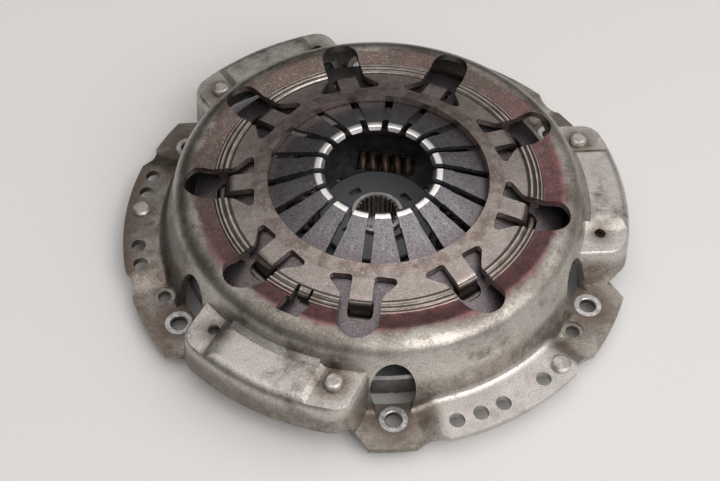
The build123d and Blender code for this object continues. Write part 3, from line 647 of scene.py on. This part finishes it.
class CoilGroup(Nodes):
    """Geometry Nodes group that winds a damper spring and sets its copies round the hub."""

    SIZES = (
        ("Pitch radius", "DISTANCE"),
        ("First angle", "ANGLE"),
        ("Outside diameter", "DISTANCE"),
        ("Wire diameter", "DISTANCE"),
        ("Turns", "NONE"),
        ("End turns", "NONE"),
        ("Length", "DISTANCE"),
        ("Height", "DISTANCE"),
    )
    WIRE_POINTS = 170
    WIRE_SIDES = 16

    def __init__(self):
        super().__init__(bpy.data.node_groups.new("damper_coils", "GeometryNodeTree"))
        face = self.tree.interface
        face.new_socket("Geometry", in_out="OUTPUT", socket_type="NodeSocketGeometry")
        self.sockets = {}
        for name, subtype in self.SIZES:
            socket = face.new_socket(name, in_out="INPUT", socket_type="NodeSocketFloat")
            socket.subtype = subtype
            self.sockets[name] = socket.identifier
        for name, kind in (("Count", "NodeSocketInt"), ("Finish", "NodeSocketMaterial")):
            self.sockets[name] = face.new_socket(name, in_out="INPUT", socket_type=kind).identifier
        inputs = self.node("NodeGroupInput").outputs()
        self.size = {reading.socket.name: reading for reading in inputs}
        placed = self.round_the_hub(self.swept(self.wire_line()))
        real = self.node("GeometryNodeRealizeInstances", {}, {"Geometry": placed})
        finish = {"Geometry": real, "Material": self.size["Finish"]}
        self.node("NodeGroupOutput", {}, {0: self.node("GeometryNodeSetMaterial", {}, finish)})

    def upright(self, value):
        """A vector along Z."""
        return self.node("CombineXYZ", {}, {2: value})

    def rise(self, turn, start, end, height):
        """Height gained between two turns, at an even slope."""
        inputs = {"Value": turn, "From Min": start, "From Max": end,
                  "To Min": 0.0, "To Max": height}
        return self.node("MapRange", {}, inputs)

    def wire_line(self):
        """Place along the wire's middle line: closed end turns, and an even slope between them."""
        wire, turns, ends = self.size["Wire diameter"], self.size["Turns"], self.size["End turns"]
        turn = self.node("GeometryNodeSplineParameter", output="Factor") * turns
        angle = turn * (2 * math.pi)
        radius = (self.size["Outside diameter"] - wire) * 0.5
        travel = self.size["Length"] - wire
        closed = ends * wire
        last = turns - ends
        climb = (self.rise(turn, 0.0, ends, closed)
                 + self.rise(turn, ends, last, travel - closed * 2.0)
                 + self.rise(turn, last, turns, closed))
        along = (climb - travel * 0.5) * -1.0
        across, up = (self.math(wave, angle) * radius for wave in ("COSINE", "SINE"))
        return self.node("CombineXYZ", {}, {0: across, 1: along, 2: up})

    def swept(self, place):
        """A round wire along the line."""
        line = self.node("GeometryNodeCurvePrimitiveLine")
        points = {"Curve": line, "Count": self.WIRE_POINTS}
        path = self.node("GeometryNodeResampleCurve", {}, points)
        bent = self.node("GeometryNodeSetPosition", {}, {"Geometry": path, "Position": place})
        round_wire = {"Resolution": self.WIRE_SIDES, "Radius": self.size["Wire diameter"] * 0.5}
        profile = self.node("GeometryNodeCurvePrimitiveCircle", {}, round_wire)
        inputs = {"Curve": bent, "Profile Curve": profile, "Fill Caps": True}
        return self.node("GeometryNodeCurveToMesh", {}, inputs)

    def round_the_hub(self, coil):
        """Copies of a coil at even angles, at the springs' height."""
        count = self.size["Count"]
        circle = {"Vertices": count, "Radius": self.size["Pitch radius"]}
        stations = self.node("GeometryNodeMeshCircle", {}, circle)
        turned = self.node("GeometryNodeInputIndex") * (2 * math.pi) / count
        copies = {"Points": stations, "Instance": coil, "Rotation": self.upright(turned)}
        coils = self.node("GeometryNodeInstanceOnPoints", {}, copies)
        placing = {"Geometry": coils, "Translation": self.upright(self.size["Height"]),
                   "Rotation": self.upright(self.size["First angle"])}
        return self.node("GeometryNodeTransform", {}, placing)


def damper_coils(sizes):
    """Round-wire damper springs in place of the plain ones."""
    group = CoilGroup()
    made = add_object("damper_coils", bpy.data.meshes.new("damper_coils"))
    winder = made.modifiers.new("winder", "NODES")
    winder.node_group = group.tree
    winder[group.sockets["Finish"]] = finish_of("coil_steel")
    winder[group.sockets["Count"]] = sizes.coil_count
    for name, _ in group.SIZES:
        winder[group.sockets[name]] = getattr(sizes, "coil_" + name.lower().replace(" ", "_"))
    settle(made)
    shade(made.data, COIL_SHARP_TURN)
    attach(made, "disc")
    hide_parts("disc_damper_springs")


def repaint(node):
    """Gives a frame solid its finish and leaves its mesh alone."""
    mesh = frame["nodes"][node].data
    mesh.materials.clear()
    mesh.materials.append(finish_of(slot_of(node)))


# ---------------------------------------------------------------- studio

def lay_floor(size):
    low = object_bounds()[0].z
    half = size / 2
    corners = [(-half, -half, low), (half, -half, low), (half, half, low), (-half, half, low)]
    mesh = bpy.data.meshes.new("studio_floor")
    mesh.from_pydata(corners, [], [(0, 1, 2, 3)])
    mesh.materials.append(studio_paper())
    add_object("studio_floor", mesh)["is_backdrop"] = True


def hang_lamp(size, power):
    """A square lamp to the front right that looks at the middle of the clutch."""
    data = bpy.data.lights.new("key_lamp", "AREA")
    data.shape = "SQUARE"
    data.size = size
    data.energy = power
    lamp = add_object("key_lamp", data)
    lamp.location = LAMP_PLACE
    lamp.rotation_euler = (-Vector(LAMP_PLACE)).to_track_quat("-Z", "Y").to_euler()


def light_room():
    """Soft light from all round: a broad box overhead and a paler side to the front right."""
    world = bpy.data.worlds.new("studio")
    bpy.context.scene.world = world
    world.use_nodes = True
    sky = Nodes(world.node_tree)
    way = sky.node("TexCoord", output="Generated")
    facing, side = (
        sky.node("VectorMath", {"operation": "DOT_PRODUCT"}, {0: way, 1: towards}, "Value")
        for towards in (SOFTBOX_WAY, SIDE_WAY))
    strength = (ROOM_GLOW + side.above(*SIDE_SPREAD) * SIDE_GLOW
                + facing.above(*SOFTBOX_SPREAD) * SOFTBOX_GLOW)
    glow = sky.node("Background", {}, {"Color": LIGHT_COLOUR, "Strength": strength})
    sky.node("OutputWorld", {}, {"Surface": glow})


def place_camera(lens):
    data = bpy.data.cameras.new("camera")
    data.sensor_width = CAMERA_SENSOR_MM
    data.lens = lens
    data.clip_start, data.clip_end = CAMERA_CLIP
    camera = add_object("camera", data)
    turn = Matrix(CAMERA_AXES).transposed().to_4x4()
    camera.matrix_world = Matrix.Translation(CAMERA_PLACE) @ turn
    bpy.context.scene.camera = camera


# ---------------------------------------------------------------- settings

def length(name, description, millimetres):
    return bpy.props.FloatProperty(
        name=name, description=description, default=millimetres * MM, min=0.0, unit="LENGTH",
        precision=5)


def colour(name, description, default):
    return bpy.props.FloatVectorProperty(
        name=name, description=description, default=default, min=0.0, max=1.0, subtype="COLOR")


class ClutchSizes(bpy.types.PropertyGroup):
    """Sizes that a user may change."""

    sheet_edge: length("Sheet edge", "Rounding of the stamped cover's cut edges", 0.3)
    coil_pitch_radius: length("Coil pitch radius", "From the axis to the damper springs", 46.0)
    coil_outside_diameter: length("Coil outside diameter", "Width of a damper spring", 18.0)
    coil_wire_diameter: length("Coil wire diameter", "Thickness of the wire", 4.16)
    coil_length: length("Coil length", "Length of a damper spring", 35.9)
    coil_height: length("Coil height", "Height of the springs over the flywheel face", 3.1)
    coil_first_angle: bpy.props.FloatProperty(
        name="First coil", description="Turn of the first damper spring round the axis",
        default=math.radians(79.0), subtype="ANGLE", unit="ROTATION")
    coil_turns: bpy.props.FloatProperty(
        name="Coil turns", description="Turns of wire in a damper spring", default=4.75, min=1.0)
    coil_end_turns: bpy.props.FloatProperty(
        name="Coil end turns", description="Closed turns at each end of a damper spring",
        default=0.75, min=0.0)
    coil_count: bpy.props.IntProperty(
        name="Coils", description="Number of damper springs", default=4, min=1)
    floor_size: length("Floor", "Side of the studio floor", 8000.0)
    lamp_size: length("Lamp", "Side of the key lamp", 1100.0)
    lamp_power: bpy.props.FloatProperty(
        name="Lamp power", description="Power of the key lamp", default=11.0, min=0.0,
        unit="POWER")
    lens: bpy.props.FloatProperty(
        name="Lens", description="Focal length of the camera, in millimetres", default=54.43,
        subtype="DISTANCE_CAMERA")


class ClutchColours(bpy.types.PropertyGroup):
    """Colours that a user may change. A finish runs from its dark colour to its pale one."""

    cover_steel_dark: colour("Cover, dark", "Dark clouds of the cover", (0.215, 0.19, 0.165))
    cover_steel_pale: colour("Cover, pale", "Pale clouds of the cover", (0.43, 0.40, 0.36))
    cover_olive: colour("Cover, olive", "Olive patches of the cover", (0.15, 0.125, 0.098))
    # Painted highlights: the next two colours make the front flange and the bulge tops lighter.
    rubbed_flange: colour("Highlighted flange", "Bright front flange", (0.64, 0.605, 0.58))
    rubbed_bulge: colour("Highlighted bulge", "Bright tops of the strap bulges", (0.64, 0.60, 0.56))
    heat_brown: colour("Heat, brown", "Brown side of the heat band", (0.10, 0.074, 0.064))
    heat_red: colour("Heat, red", "Red side of the heat band", (0.43, 0.20, 0.21))
    # Laid as stains, and heavier on the left side as painted shade.
    stain: colour("Stain", "Stains low on the cover", (0.10, 0.068, 0.046))
    spring_steel_dark: colour("Spring, dark", "Dark grain of the spring", (0.125, 0.118, 0.125))
    spring_steel_pale: colour("Spring, pale", "Pale grain of the spring", (0.25, 0.24, 0.255))
    ground_tips: colour("Ground tips", "Ground ring at the finger tips", (0.92, 0.91, 0.89))
    plate_iron_dark: colour("Plate, dark", "Dark pressure plate iron", (0.20, 0.195, 0.19))
    plate_iron_pale: colour("Plate, pale", "Pale pressure plate iron", (0.31, 0.30, 0.29))
    ring_wire_dark: colour("Pivot ring, dark", "Dark pivot ring wire", (0.16, 0.14, 0.125))
    ring_wire_pale: colour("Pivot ring, pale", "Pale pivot ring wire", (0.26, 0.235, 0.21))
    strap_steel_dark: colour("Straps, dark", "Dark strap leaves", (0.24, 0.235, 0.235))
    strap_steel_pale: colour("Straps, pale", "Pale strap leaves", (0.36, 0.355, 0.35))
    rivet_steel_dark: colour("Rivets, dark", "Dark rivet heads", (0.34, 0.315, 0.285))
    rivet_steel_pale: colour("Rivets, pale", "Pale rivet heads", (0.52, 0.495, 0.455))
    disc_steel_dark: colour("Driven plate, dark", "Dark disc steel", (0.035, 0.035, 0.037))
    disc_steel_pale: colour("Driven plate, pale", "Pale disc steel", (0.075, 0.075, 0.078))
    coil_steel_dark: colour("Coils, dark", "Dark damper springs", (0.05, 0.032, 0.025))
    coil_steel_pale: colour("Coils, pale", "Pale damper springs", (0.11, 0.07, 0.05))
    hub_steel_dark: colour("Hub, dark", "Dark hub steel", (0.35, 0.345, 0.33))
    hub_steel_pale: colour("Hub, pale", "Pale hub steel", (0.50, 0.495, 0.48))
    washer_dark: colour("Washers, dark", "Dark friction washers", (0.22, 0.18, 0.11))
    washer_pale: colour("Washers, pale", "Pale friction washers", (0.33, 0.28, 0.18))
    friction_dark: colour("Facings, dark", "Dark fibre of the facings", (0.060, 0.050, 0.043))
    friction_pale: colour("Facings, pale", "Pale fibre of the facings", (0.13, 0.115, 0.10))
    studio_paper_dark: colour("Floor, dark", "Dark fibre of the floor", (0.62, 0.612, 0.60))
    studio_paper_pale: colour("Floor, pale", "Pale fibre of the floor", (0.66, 0.652, 0.64))


# ---------------------------------------------------------------- operators and panel

class CLUTCH_OT_cover(bpy.types.Operator):
    """Dress the stamped cover and round its cut edges"""

    bl_idname = "clutch.cover"
    bl_label = "Cover"

    def execute(self, context):
        dressed("cover", context.scene.clutch_sizes.sheet_edge)
        return {"FINISHED"}


class CLUTCH_OT_springs(bpy.types.Operator):
    """Make the pieces that bend: the flat spring and the strap packs"""

    bl_idname = "clutch.springs"
    bl_label = "Flat spring and straps"

    def execute(self, context):
        flat_spring()
        for number in (1, 2, 3):
            strap_pack(number)
        return {"FINISHED"}


class CLUTCH_OT_coils(bpy.types.Operator):
    """Wind the damper springs of the driven plate"""

    bl_idname = "clutch.coils"
    bl_label = "Damper springs"

    def execute(self, context):
        damper_coils(context.scene.clutch_sizes)
        return {"FINISHED"}


class CLUTCH_OT_rest(bpy.types.Operator):
    """Dress all other pieces"""

    bl_idname = "clutch.rest"
    bl_label = "Other pieces"

    def execute(self, context):
        for node, solid in sorted(frame["nodes"].items()):
            if not solid.hide_render:
                repaint(node)
        return {"FINISHED"}


class CLUTCH_OT_stage(bpy.types.Operator):
    """Build the studio: floor, light and camera"""

    bl_idname = "clutch.stage"
    bl_label = "Studio"

    def execute(self, context):
        sizes = context.scene.clutch_sizes
        lay_floor(sizes.floor_size)
        hang_lamp(sizes.lamp_size, sizes.lamp_power)
        light_room()
        place_camera(sizes.lens)
        return {"FINISHED"}


class CLUTCH_PT_panel(bpy.types.Panel):
    """Lists the clutch's sizes, colours and operators"""

    bl_idname = "CLUTCH_PT_panel"
    bl_label = "Clutch"
    bl_space_type = "VIEW_3D"
    bl_region_type = "UI"
    bl_category = "Clutch"

    def draw(self, context):
        for settings in (context.scene.clutch_sizes, context.scene.clutch_colours):
            for name in settings.__annotations__:
                self.layout.prop(settings, name)
        for operator in OPERATORS:
            self.layout.operator(operator.bl_idname)


OPERATORS = (CLUTCH_OT_cover, CLUTCH_OT_springs, CLUTCH_OT_coils, CLUTCH_OT_rest, CLUTCH_OT_stage)
CLASSES = (ClutchSizes, ClutchColours, *OPERATORS, CLUTCH_PT_panel)


def register():
    for cls in CLASSES:
        bpy.utils.register_class(cls)
    bpy.types.Scene.clutch_sizes = bpy.props.PointerProperty(type=ClutchSizes)
    bpy.types.Scene.clutch_colours = bpy.props.PointerProperty(type=ClutchColours)


def unregister():
    del bpy.types.Scene.clutch_colours
    del bpy.types.Scene.clutch_sizes
    for cls in reversed(CLASSES):
        bpy.utils.unregister_class(cls)


def main():
    register()
    bpy.context.scene.view_settings.view_transform = "Standard"
    bpy.ops.clutch.cover()
    bpy.ops.clutch.springs()
    bpy.ops.clutch.coils()
    bpy.ops.clutch.rest()
    bpy.ops.clutch.stage()


if __name__ == "__main__":
    main()
